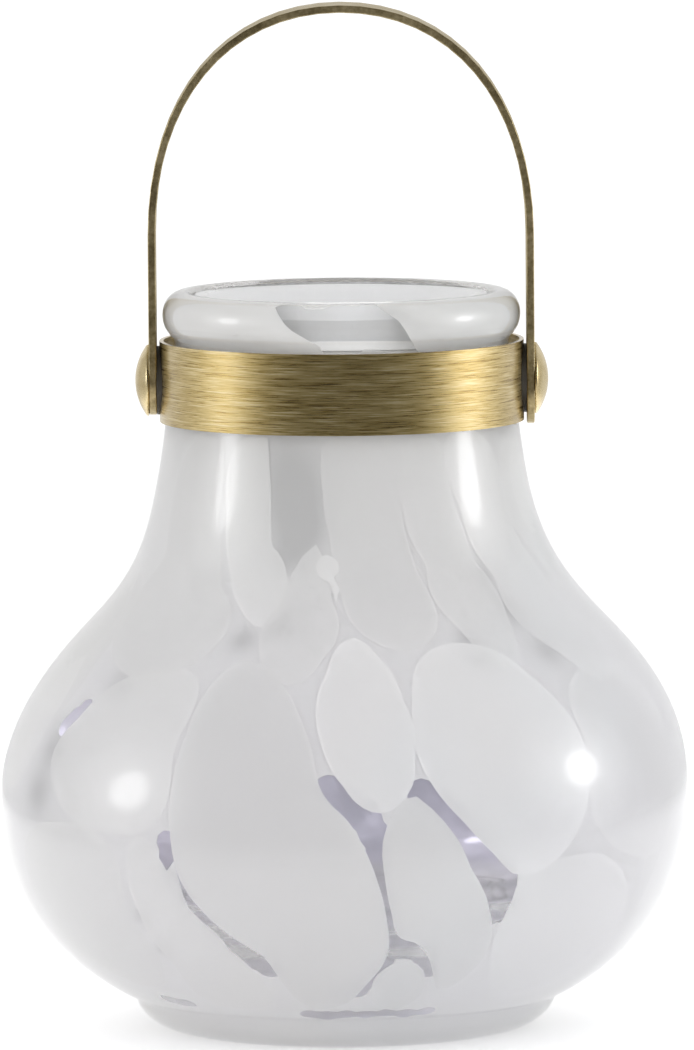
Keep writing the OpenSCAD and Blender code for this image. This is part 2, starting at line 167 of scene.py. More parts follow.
def brass_band():
    """Brass brushed round the collar: the streaks follow the angle round the jar."""
    nodes = new_material("band_brass")
    x, y, z = nodes.place()
    angle = nodes.math("ARCTAN2", x, nodes.math("MULTIPLY", y, -1.0))
    around = nodes.math("MULTIPLY", angle, 43 * MM)
    fine = brushed_along(nodes, around, z, 9 * MM, 0.22 * MM)
    broad = brushed_along(nodes, around, z, 22 * MM, 0.9 * MM)
    cloud = nodes.noise(nodes.coordinates("Object"), 60.0, 2.0)
    streaks = nodes.math("ADD", nodes.math("MULTIPLY", fine, 0.62), nodes.math("MULTIPLY", broad, 0.38))
    colour = nodes.ramp(streaks, [
        (0.36, (0.22, 0.13, 0.02)), (0.45, (0.56, 0.39, 0.10)), (0.56, (0.82, 0.65, 0.31)),
        (0.66, (0.96, 0.86, 0.58)),
    ])
    colour = nodes.mix(nodes.range(cloud, 0.35, 0.7, 0.0, 0.22), colour, rgba(0.50, 0.40, 0.17))
    return nodes.finish(nodes.principled(
        Base_Color=colour, Metallic=1.0, Anisotropic=0.55, Coat_Weight=1.0, Coat_Roughness=0.25, Coat_IOR=1.6,
        Roughness=nodes.range(streaks, 0.34, 0.66, 0.20, 0.44),
        Tangent=nodes.add("ShaderNodeTangent", {"direction_type": "RADIAL", "axis": "Z"}).outputs[0],
        Normal=nodes.bump(streaks, 0.4, 0.00008),
    ))


def brass_strap():
    """Aged brass strap, paler and brushed lengthwise on its faces. Its cut edges, turned to the front and
    back, are blotchy and painted darker: the darkness is painted shade.
    """
    nodes = new_material("strap_brass")
    x, y, z = nodes.place()
    normal = nodes.add("ShaderNodeSeparateXYZ", Vector=nodes.coordinates("Normal")).outputs
    # edge is how squarely a face turns to the front or back. These cut edges get the darker colour below,
    # which is painted shade
    edge = nodes.range(nodes.math("ABSOLUTE", normal[1]), 0.45, 0.85, 0.0, 1.0)
    along = nodes.math("ADD", x, z)
    fine = brushed_along(nodes, along, y, 14 * MM, 0.25 * MM)
    patches = nodes.noise(nodes.coordinates("Object"), 85.0, 4.0, 0.6)
    specks = nodes.noise(nodes.coordinates("Object"), 900.0, 3.0, 0.6)
    face = nodes.ramp(fine, [
        (0.32, (0.36, 0.28, 0.13)), (0.5, (0.56, 0.46, 0.25)), (0.68, (0.78, 0.69, 0.46)),
    ])
    # The cut edges' colour: blotches on a darker ramp, and the darkness is painted shade
    rim = nodes.ramp(nodes.math("MULTIPLY", nodes.math("ADD", patches, specks), 0.5), [
        (0.34, (0.30, 0.23, 0.11)), (0.5, (0.51, 0.41, 0.22)), (0.66, (0.73, 0.61, 0.36)),
    ])
    height = nodes.math("ADD", nodes.math("MULTIPLY", fine, 0.7), nodes.math("MULTIPLY", specks, 0.4))
    return nodes.finish(nodes.principled(
        Base_Color=nodes.mix(edge, face, rim), Metallic=1.0, Anisotropic=0.3,
        Roughness=nodes.range(patches, 0.3, 0.7, 0.36, 0.52),
        Normal=nodes.bump(height, 0.22, 0.00008),
    ))


def brass_rivet():
    nodes = new_material("rivet_brass")
    patches = nodes.noise(nodes.coordinates("Object"), 150.0, 4.0, 0.55)
    specks = nodes.noise(nodes.coordinates("Object"), 1400.0, 3.0, 0.6)
    colour = nodes.ramp(patches, [
        (0.3, (0.54, 0.42, 0.20)), (0.5, (0.74, 0.60, 0.33)), (0.7, (0.90, 0.77, 0.49)),
    ])
    return nodes.finish(nodes.principled(
        Base_Color=colour, Metallic=1.0, Roughness=nodes.range(specks, 0.3, 0.7, 0.2, 0.34),
        Normal=nodes.bump(specks, 0.05, 0.00004),
    ))


def moulded(name, dark, light, roughness, grain_scale, grain, level=0.5):
    """Moulded plastic or rubber: slightly clouded colour, and the mould's fine texture."""
    nodes = new_material(name)
    cloud = nodes.noise(nodes.coordinates("Object"), 55.0, 3.0)
    texture = nodes.noise(nodes.coordinates("Object"), grain_scale, 2.0, 0.7)
    blotches = nodes.math("ADD", nodes.math("MULTIPLY", cloud, 0.7), nodes.math("MULTIPLY", texture, 0.3))
    colour = nodes.ramp(blotches, [(0.3, dark), (0.7, light)])
    return nodes.finish(nodes.principled(
        Base_Color=colour, Specular_IOR_Level=level,
        Roughness=nodes.range(texture, 0.3, 0.7, roughness - 0.07, roughness + 0.07),
        Normal=nodes.bump(texture, grain, 0.0001),
    ))


def brushed_steel():
    nodes = new_material("plain_steel")
    x, y, z = nodes.place()
    fine = brushed_along(nodes, nodes.math("ADD", x, y), z, 3 * MM, 0.12 * MM)
    return nodes.finish(nodes.principled(
        Base_Color=nodes.ramp(fine, [(0.3, grey(0.48)), (0.7, grey(0.72))]), Metallic=1.0,
        Roughness=nodes.range(fine, 0.3, 0.7, 0.36, 0.24), Normal=nodes.bump(fine, 0.15, 0.00004),
    ))


def clear_sheet():
    """Polished polycarbonate with the faintest hairline scratches."""
    nodes = new_material("window_clear")
    vector = nodes.stretched(nodes.coordinates("Object"), (900.0, 60.0, 60.0))
    hairs = nodes.noise(vector, 1.0, 3.0, 0.7)
    return nodes.finish(nodes.principled(
        Base_Color=rgba(0.93, 0.94, 0.95), Roughness=0.04, IOR=1.58, Transmission_Weight=1.0,
        Normal=nodes.bump(nodes.range(hairs, 0.62, 0.8, 0.0, 1.0), 0.05, 0.00002),
    ))


def photovoltaic():
    """Dark blue cells between silver bus bars, with fine silver fingers across them."""
    nodes = new_material("cell_blue")
    x, y = nodes.place()[:2]
    crystals = nodes.add("ShaderNodeTexVoronoi", Vector=nodes.coordinates("Object"), Scale=260.0)
    blue = nodes.mix(
        nodes.math("MULTIPLY", crystals.outputs["Distance"], 0.6), rgba(0.010, 0.018, 0.070),
        rgba(0.024, 0.045, 0.150))
    strip = nodes.math("PINGPONG", nodes.math("ADD", x, 100 * MM), 3.6 * MM)
    bars = nodes.math("LESS_THAN", strip, 0.26 * MM)
    comb = nodes.math("PINGPONG", nodes.math("ADD", y, 100 * MM), 0.75 * MM)
    fingers = nodes.math("LESS_THAN", comb, 0.06 * MM)
    silver = nodes.math("MAXIMUM", bars, nodes.math("MULTIPLY", fingers, 0.55))
    return nodes.finish(nodes.principled(
        Base_Color=nodes.mix(silver, blue, rgba(0.62, 0.63, 0.62)), Coat_Weight=0.6, Coat_Roughness=0.08,
        Roughness=nodes.range(silver, 0.0, 1.0, 0.28, 0.4), Normal=nodes.bump(silver, 0.2, 0.00004),
    ))


def board():
    """Green solder mask with slightly raised tracks."""
    nodes = new_material("board_green")
    tracks = nodes.add(
        "ShaderNodeTexBrick", {"offset": 0.3, "squash": 0.6}, Vector=nodes.coordinates("Object"),
        Scale=140.0, Mortar_Size=0.035, Brick_Width=0.9, Row_Height=0.22)
    line = tracks.outputs["Fac"]
    cloud = nodes.noise(nodes.coordinates("Object"), 400.0)
    green = nodes.mix(cloud, rgba(0.012, 0.10, 0.045), rgba(0.03, 0.17, 0.08))
    return nodes.finish(nodes.principled(
        Base_Color=nodes.mix(line, green, rgba(0.07, 0.30, 0.14)), Coat_Weight=0.3,
        Roughness=nodes.range(cloud, 0.3, 0.7, 0.3, 0.42), Normal=nodes.bump(line, 0.3, 0.00005),
    ))


def sleeve():
    """Shrink sleeve with a plain pale band round one end and faint wrinkles."""
    nodes = new_material("sleeve_green")
    x = nodes.place()[0]
    band = nodes.math("MULTIPLY", nodes.math("GREATER_THAN", x, 12 * MM), nodes.math("LESS_THAN", x, 16 * MM))
    wrinkles = nodes.noise(nodes.stretched(nodes.coordinates("Object"), (120.0, 900.0, 900.0)), 1.0)
    green = nodes.mix(wrinkles, rgba(0.04, 0.20, 0.10), rgba(0.09, 0.34, 0.18))
    return nodes.finish(nodes.principled(
        Base_Color=nodes.mix(band, green, rgba(0.70, 0.72, 0.66)),
        Roughness=nodes.range(wrinkles, 0.3, 0.7, 0.26, 0.4), Normal=nodes.bump(wrinkles, 0.2, 0.0001),
    ))


def epoxy():
    """Clear epoxy over a yellow phosphor, paler towards the lamp's tip."""
    nodes = new_material("lamp_epoxy")
    z = nodes.place()[2]
    low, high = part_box("led_lamp")
    tint = nodes.ramp(nodes.range(z, low.z, high.z, 0.0, 1.0), [
        (0.0, (0.96, 0.95, 0.88)), (0.55, (0.95, 0.90, 0.62)), (1.0, (0.93, 0.84, 0.40)),
    ])
    swirl = nodes.noise(nodes.coordinates("Object"), 500.0)
    return nodes.finish(nodes.principled(
        Base_Color=tint, Roughness=0.06, IOR=1.52, Transmission_Weight=0.8,
        Normal=nodes.bump(swirl, 0.05, 0.00005),
    ))


def frosted():
    nodes = new_material("lens_frosted")
    texture = nodes.noise(nodes.coordinates("Object"), 1800.0, 2.0, 0.7)
    colour = nodes.mix(texture, rgba(0.83, 0.83, 0.82), rgba(0.92, 0.92, 0.90))
    solid = nodes.principled(
        Base_Color=colour, Roughness=nodes.range(texture, 0.3, 0.7, 0.42, 0.56),
        Normal=nodes.bump(texture, 0.2, 0.00005))
    through = nodes.add("ShaderNodeBsdfTranslucent", Color=colour).outputs[0]
    return nodes.finish(nodes.mix_shaders(0.45, solid, through))


def lustre_glass():
    """Clear blown glass with a lavender lustre on the inside of the bulb, which thins towards the neck."""
    nodes = new_material("lustre_glass")
    z = nodes.place()[2]
    drift = nodes.noise(nodes.coordinates("Object"), 14.0, 2.0)
    uneven = nodes.range(drift, 0.3, 0.7, -0.12, 0.12)
    depth = nodes.math("ADD", nodes.range(z, 0.0, 150 * MM, 0.0, 1.0), uneven)
    tint = nodes.ramp(depth, [
        (0.0, (0.985, 0.98, 0.975)), (0.12, (0.975, 0.972, 0.985)), (0.5, (0.975, 0.972, 0.985)),
        (0.72, (0.965, 0.965, 0.975)), (0.9, (0.955, 0.955, 0.955)), (1.0, (0.92, 0.92, 0.915)),
    ])
    inside = nodes.add("ShaderNodeAttribute", {"attribute_name": "inside"}).outputs["Fac"]
    above_floor = nodes.range(z, 12 * MM, 20 * MM, 0.0, 1.0)
    below_neck = nodes.range(z, 80 * MM, 110 * MM, 1.0, 0.0)
    bulb = nodes.math("MULTIPLY", above_floor, below_neck)
    tint = nodes.mix(nodes.math("MULTIPLY", inside, bulb), tint, rgba(0.88, 0.85, 1.0))
    ripples = nodes.noise(nodes.stretched(nodes.coordinates("Object"), (1.0, 1.0, 0.6)), 38.0, 2.0, 0.4)
    return nodes.finish(nodes.principled(
        Base_Color=tint, Roughness=0.08, IOR=1.5, Transmission_Weight=1.0,
        Normal=nodes.bump(ripples, 0.25, 0.0006),
    ))


def opal_frit():
    """Opal white glass. Each chip has its own tone, and a pearl tint drifts over all of them."""
    nodes = new_material("opal_frit")
    tone = nodes.add("ShaderNodeAttribute", {"attribute_name": "tone"}).outputs["Fac"]
    x = nodes.place()[0]
    drift = nodes.noise(nodes.coordinates("Object"), 11.0, 2.0)
    clouds = nodes.noise(nodes.coordinates("Object"), 70.0, 4.0, 0.55)
    across = nodes.range(x, -80 * MM, 80 * MM, 0.1, 0.9)
    pearl = nodes.ramp(nodes.math("ADD", across, nodes.range(drift, 0.3, 0.7, -0.3, 0.3)), [
        (0.0, (0.997, 0.997, 0.992)), (0.3, (0.997, 0.995, 0.993)), (0.55, (0.997, 0.996, 0.993)),
        (0.8, (0.993, 0.996, 0.996)), (1.0, (0.995, 0.995, 0.997)),
    ])
    rim = nodes.add("ShaderNodeAttribute", {"attribute_name": "rim"}).outputs["Fac"]
    own = nodes.range(tone, 0.8, 1.0, 0.84, 1.0)
    shade = nodes.math("MULTIPLY", own, nodes.range(clouds, 0.3, 0.7, 0.995, 1.0))
    # each chip is painted a little lighter towards its rim: painted light against the shade at the chips'
    # edges
    shade = nodes.math("MINIMUM", nodes.math("ADD", shade, nodes.range(rim, 0.88, 1.0, 0.0, 0.012)), 0.998)
    level = nodes.add("ShaderNodeCombineColor", Red=shade, Green=shade, Blue=shade).outputs[0]
    colour = nodes.mix(1.0, pearl, level, "MULTIPLY")
    solid = nodes.principled(
        Base_Color=colour, Roughness=0.45, Specular_IOR_Level=0.1, Normal=nodes.bump(clouds, 0.08, 0.0003))
    through = nodes.add("ShaderNodeBsdfTranslucent", Color=colour).outputs[0]
    return nodes.finish(nodes.mix_shaders(0.74, solid, through))


# ---------------------------------------------------------------- the jar's outline, read from the CAD model

def jar_outline():
    """The jar's half section as points (radius, height), from the middle of its underside, over the
    outside and the lip, and down the inside to the middle of its floor."""
    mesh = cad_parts["glass_jar"].data
    same = 2e-5  # points of the section closer than this are one point
    rings = []
    ring_of = []
    cells = {}
    for vertex in mesh.vertices:
        radius = math.hypot(vertex.co.x, vertex.co.y)
        key = (round(radius / same), round(vertex.co.z / same))
        found = None
        for i in (-1, 0, 1):
            for k in (-1, 0, 1):
                found = cells.get((key[0] + i, key[1] + k), found)
        if found is None:
            found = cells[key] = len(rings)
            rings.append((radius, vertex.co.z))
        ring_of.append(found)
    near = {i: set() for i in range(len(rings))}
    for edge in mesh.edges:
        a, b = (ring_of[v] for v in edge.vertices)
        if a != b:
            near[a].add(b)
            near[b].add(a)
    on_axis = [i for i, (radius, height) in enumerate(rings) if radius < 1e-5]
    at = min(on_axis, key=lambda i: rings[i][1])
    path = [at]
    while True:
        onward = [i for i in near[at] if i not in path]
        if not onward:
            return [rings[i] for i in path]
        at = min(onward, key=lambda i: math.dist(rings[i], rings[at]))
        path.append(at)


def between(a, b, c, d, t):
    """A point on the smooth curve from b to c, with a before and d after."""
    knots = [0.0]
    for p, q in ((a, b), (b, c), (c, d)):
        knots.append(knots[-1] + max(math.sqrt(math.dist(p, q)), 1e-6))
    x = knots[1] + t * (knots[2] - knots[1])

    def blend(p, q, low, high):
        w = (x - low) / (high - low)
        return tuple(u + (v - u) * w for u, v in zip(p, q))

    ab = blend(a, b, knots[0], knots[1])
    bc = blend(b, c, knots[1], knots[2])
    cd = blend(c, d, knots[2], knots[3])
    return blend(blend(ab, bc, knots[0], knots[2]), blend(bc, cd, knots[1], knots[3]), knots[1], knots[2])


def turning(a, b, c):
    first = math.atan2(b[1] - a[1], b[0] - a[0])
    second = math.atan2(c[1] - b[1], c[0] - b[0])
    return abs((second - first + math.pi) % (2 * math.pi) - math.pi)


def smoothed(points, spacing, corner=math.radians(32)):
    """The outline again, curved between its points but not round corners, with a new point every spacing."""
    last = len(points) - 1
    sharp = {0, last} | {i for i in range(1, last) if turning(*points[i - 1:i + 2]) > corner}
    out = [points[0]]
    for i in range(last):
        b, c = points[i], points[i + 1]
        a = b if i in sharp else points[i - 1]
        d = c if i + 1 in sharp else points[i + 2]
        if a == b:
            a = (2 * b[0] - c[0], 2 * b[1] - c[1])
        if d == c:
            d = (2 * c[0] - b[0], 2 * c[1] - b[1])
        steps = max(1, round(math.dist(b, c) / spacing))
        out += [between(a, b, c, d, k / steps) for k in range(1, steps + 1)]
    return [(max(radius, 0.0), max(height, 0.0)) for radius, height in out]


outline = smoothed(jar_outline(), 1.1 * MM)
lip_top = max(range(len(outline)), key=lambda i: (outline[i][1], outline[i][0]))
foot_edge = min(range(lip_top), key=lambda i: (outline[i][1] > 1e-6, -outline[i][0]))
window_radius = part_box("solar_window")[1].x
mouth = next(i for i in range(lip_top, len(outline)) if outline[i][0] < window_radius + 1.2 * MM)
outside = outline[:mouth + 1]
outside_at = [0.0]
for before, after in zip(outside, outside[1:]):
    outside_at.append(outside_at[-1] + math.dist(before, after))
BELLY = max(radius for radius, height in outline)


def smooth_step(value, low, high):
    t = min(max((value - low) / (high - low), 0.0), 1.0)
    return t * t * (3 - 2 * t)


def blown(point):
    """Moves a point of the glass by the small unevenness of a blown bulb. Foot, neck and lip stay true."""
    x, y, z = point
    free = smooth_step(z, 10 * MM, 34 * MM) * (1 - smooth_step(z, 104 * MM, 132 * MM))
    radius = math.hypot(x, y)
    if free == 0.0 or radius < 1e-6:
        return Vector(point)
    lean = 1.1 * MM * smooth_step(z, 50 * MM, 90 * MM) * (1 - smooth_step(z, 100 * MM, 132 * MM))
    swell = noise.noise(Vector((x, y, z)) * 19.0) * 0.55 * MM - 0.2 * MM
    scale = 1 + free * swell / radius
    moved = Vector((x * scale + lean, y * scale, z))
    reach = math.hypot(moved.x, moved.y)
    if reach > BELLY:
        moved.x *= BELLY / reach
        moved.y *= BELLY / reach
    return moved


def about(radius, angle, height):
    return (radius * math.sin(angle), -radius * math.cos(angle), height)


# ---------------------------------------------------------------- pieces

def as_mesh(name, bm):
    mesh = bpy.data.meshes.new(name)
    bm.to_mesh(mesh)
    bm.free()
    return mesh


def new_piece(name, mesh, material, body, slot, *nodes):
    piece = bpy.data.objects.new(name, mesh)
    scene.collection.objects.link(piece)
    mesh.materials.append(material)
    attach(piece, body)
    if nodes:
        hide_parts(*nodes)
    return piece


def lathe(name, profile, turns, place):
    """A mesh of a profile turned about the jar's axis. Profile points on the axis become single vertices."""
    bm = bmesh.new()
    rows = []
    for i, (radius, height) in enumerate(profile):
        if radius < 1e-6:
            rows.append([bm.verts.new(place((0.0, 0.0, height), i))] * turns)
        else:
            rows.append([
                bm.verts.new(place(about(radius, 2 * math.pi * k / turns, height), i)) for k in range(turns)
            ])
    for lower, upper in zip(rows, rows[1:]):
        for k in range(turns):
            corners = [lower[k], lower[(k + 1) % turns], upper[(k + 1) % turns], upper[k]]
            corners = [v for n, v in enumerate(corners) if v not in corners[:n]]
            if len(corners) > 2:
                bm.faces.new(corners).smooth = True
    bmesh.ops.recalc_face_normals(bm, faces=bm.faces)
    return as_mesh(name, bm)


GLASS_TURNS = 192


def glass_body():
    """The glass of the jar. Its inside is a little more uneven than its outside."""
    def place(point, i):
        moved = blown(point)
        if i > lip_top:
            x, y, z = point
            free = smooth_step(z, 12 * MM, 30 * MM) * (1 - smooth_step(z, 100 * MM, 130 * MM))
            dimple = noise.noise(Vector((x, y, 0.6 * z)) * 62.0) * 0.16 * MM * free
            radius = math.hypot(moved.x, moved.y)
            if radius > 1e-6:
                moved.x *= 1 + dimple / radius
                moved.y *= 1 + dimple / radius
        return moved

    mesh = lathe("jar_glass", outline, GLASS_TURNS, place)
    inner = []
    for i, (radius, height) in enumerate(outline):
        inner += [float(i > lip_top)] * (1 if radius < 1e-6 else GLASS_TURNS)
    mesh.attributes.new("inside", "FLOAT", "POINT").data.foreach_set("value", inner)
    piece = new_piece("jar_glass", mesh, lustre_glass(), "root", "art_glass", "glass_jar")
    piece.visible_shadow = False
    piece.visible_diffuse = False
    return piece


def along_outside(distance):
    """Radius, height and outward direction of the jar's outside, this far along it from the foot."""
    distance = min(max(distance, 0.0), outside_at[-1] - 1e-7)
    low, high = 0, len(outside_at) - 1
    while high - low > 1:
        middle = (low + high) // 2
        if outside_at[middle] <= distance:
            low = middle
        else:
            high = middle
    (r0, z0), (r1, z1) = outside[low], outside[high]
    step = outside_at[high] - outside_at[low]
    t = (distance - outside_at[low]) / step
    return r0 + (r1 - r0) * t, z0 + (z1 - z0) * t, (z1 - z0) / step, -(r1 - r0) / step


def distance_at(height):
    """How far along the outside this height is."""
    for i in range(foot_edge + 1, lip_top + 1):
        if outside[i][1] >= height:
            (r0, z0), (r1, z1) = outside[i - 1], outside[i]
            t = (height - z0) / max(z1 - z0, 1e-9)
            return outside_at[i - 1] + t * (outside_at[i] - outside_at[i - 1])
    return outside_at[lip_top]


def in_wall(angle, distance, depth):
    radius, height, out_r, out_z = along_outside(distance)
    point = about(radius - depth * out_r, angle, height - depth * out_z)
    return blown(point)


def local(angle, distance, centre):
    """How far right and up a spot on the wall is from a centre, which is an (angle, distance) pair."""
    turn = (angle - centre[0] + math.pi) % (2 * math.pi) - math.pi
    return turn * along_outside(distance)[0], distance - centre[1]


class Chip:
    """One chip of frit, flattened into the wall. Its outline is given about its centre, by direction."""

    def __init__(self, angle, distance, reach, size):
        self.centre = (angle, distance)
        self.reach = reach
        self.size = size

    def spot(self, turn, share):
        """The place on the wall in this direction from the centre, at this share of the way to the edge."""
        reach = self.reach(turn) * share
        distance = self.centre[1] + reach * math.sin(turn)
        return self.centre[0] + reach * math.cos(turn) / along_outside(distance)[0], distance

    def covers(self, spots):
        """True if the chip reaches close to the middle of any of these (angle, distance, size) spots."""
        for angle, distance, size in spots:
            right, up = local(angle, distance, self.centre)
            if math.hypot(right, up) < self.reach(math.atan2(up, right)) * 1.04 + 0.25 * size:
                return True
        return False


def drawn_chip(corners):
    """A chip whose outline curves smoothly through these (degrees, height in mm) corners."""
    spots = [(math.radians(degrees), distance_at(height * MM)) for degrees, height in corners]
    centre = tuple(sum(values) / len(spots) for values in zip(*spots))
    polar = []
    for angle, distance in spots:
        right, up = local(angle, distance, centre)
        polar.append((math.atan2(up, right), math.hypot(right, up)))
    polar.sort()
    count = len(polar)

    def reach(turn):
        turn = (turn + math.pi) % (2 * math.pi) - math.pi
        after = next((i for i, (direction, length) in enumerate(polar) if direction > turn), 0)
        (t0, a), (t1, b), (t2, c), (t3, d) = (polar[(after + i) % count] for i in (-2, -1, 0, 1))
        span = (t2 - t1) % (2 * math.pi)
        t = ((turn - t1) % (2 * math.pi)) / span
        before = (c - a) / (((t2 - t0) % (2 * math.pi)) or 1) * span
        beyond = (d - b) / (((t3 - t1) % (2 * math.pi)) or 1) * span
        return (
            b * (2 * t ** 3 - 3 * t ** 2 + 1) + c * (3 * t ** 2 - 2 * t ** 3)
            + before * (t ** 3 - 2 * t ** 2 + t) + beyond * (t ** 3 - t ** 2))

    return Chip(*centre, reach, max(length for direction, length in polar))


def strewn_chip(angle, distance, half_length, half_width, lean, waver):
    """A chip that is an uneven oval. Lean is how far its top leans to the left."""
    waves = [(n, waver.uniform(0, 2 * math.pi), waver.uniform(0.3, 1.0) * 0.13 / n) for n in (1, 2, 3, 5)]

    def reach(turn):
        along = math.sin(turn - lean)
        across = math.cos(turn - lean)
        oval = 1 / math.hypot(along / half_length, across / half_width)
        return oval * (1 + sum(size * math.cos(n * turn + start) for n, start, size in waves))

    return Chip(angle, distance, reach, half_length)


def add_chip(bm, chip, depth, tone, tones, rims, thickness=0.08 * MM):
    """Adds one closed lens of frit at this depth in the wall."""
    rings = min(max(round(chip.size / (3.4 * MM)), 3), 12)
    turns = min(max(round(chip.size / (0.55 * MM)), 18), 96)
    edge = None
    for side in (-1, 1):
        rows = []
        for ring in range(rings + 1):
            share = ring / rings
            bulge = side * 0.5 * thickness * math.sqrt(max(1 - share ** 4, 0.0))
            if ring == rings and edge:
                rows.append(edge)
                continue
            row = []
            for k in range(turns if ring else 1):
                angle, distance = chip.spot(2 * math.pi * k / turns, share)
                vertex = bm.verts.new(in_wall(angle, distance, depth + bulge))
                vertex[tones] = tone
                vertex[rims] = share
                row.append(vertex)
            rows.append(row)
        edge = rows[-1]
        for inner, outer in zip(rows, rows[1:]):
            for k in range(turns):
                after = (k + 1) % turns
                if len(inner) == 1:
                    corners = [inner[0], outer[k], outer[after]]
                else:
                    corners = [inner[k], outer[k], outer[after], inner[after]]
                if side > 0:
                    corners.reverse()
                bm.faces.new(corners).smooth = True
    for k in range(turns):
        bm.edges.get((edge[k], edge[(k + 1) % turns])).smooth = False


# Clear places in the opal layer, as (degrees, height in mm, size in mm). No strewn chip covers their middles.
CLEAR = [
    (-3, 66.5, 2.4), (0, 63.5, 2.8), (3, 60.5, 2.8), (4.8, 56, 2.4), (5.4, 51, 2), (6, 46, 1.7),
    (6.8, 41, 1.6), (7.6, 36, 1.6), (12.5, 65.5, 2.2), (15.5, 63, 2.5), (18.5, 58.5, 2.7), (21, 54, 3),
    (23.8, 49, 3.4), (26.5, 44, 3.8), (27.5, 39.5, 3.2), (27, 35.5, 2), (8.6, 31, 1.8), (9.8, 27.6, 2.4),
    (13, 27, 2), (15.4, 24, 1.6), (16.3, 21.3, 1.2), (6.3, 23, 1.9), (4.3, 19.4, 1.8), (2, 16.4, 1.8),
    (-30.8, 53, 1.6), (-30.3, 49, 1.7), (-30, 45, 1.8), (-28.8, 42, 1.7), (-27.5, 39, 1.6), (-26, 36, 1.6),
    (-24.4, 33, 1.6), (-22.5, 30.4, 1.7), (-20.8, 28, 2), (-19, 26, 2.3), (-17.4, 24.8, 2.6),
    (-14.8, 22.4, 2.2), (-9, 9.6, 1.2), (-5, 9.2, 1.6), (0, 9.6, 1.2), (5, 9.4, 1.2), (10, 9.8, 1.2),
    (15, 9.4, 1.4), (20, 9.8, 1.2), (-47, 11.5, 0.9), (-44, 11, 1), (-41, 11, 0.8), (-60.5, 77, 1.4),
    (-59, 79.5, 1.3), (-57, 82, 0.9), (-2, 166, 5), (6, 171, 4), (-8, 172, 4), (12, 166.5, 4), (0, 175, 3),
    (-18, 175, 3), (-15, 172, 3), (20, 166, 4), (27, 164, 3), (9, 175, 3), (14, 174, 3), (18, 171, 3.5),
    (24, 168, 3.5), (31, 165, 3),
]

# Thin places where the opal layer is greyer, as (degrees, height in mm, size in mm, how much)
THIN = [
    (-17, 138, 8, 0.10), (-15, 130, 7, 0.12), (-13, 123, 6, 0.13), (-17, 117, 4, 0.08), (-16.5, 102, 3, 0.14),
    (-24.5, 99, 3, 0.12), (40, 112, 4, 0.10), (44, 104, 4, 0.12), (47, 95, 4, 0.10), (28, 99, 3, 0.10),
    (30, 94, 3, 0.08), (-61, 72, 5, 0.12), (-63, 61, 5, 0.12), (-50, 88, 5, 0.07), (-38, 34, 2, 0.10),
    (-36, 26, 2, 0.10), (41, 46, 4, 0.05), (62, 66, 4, 0.06),
]

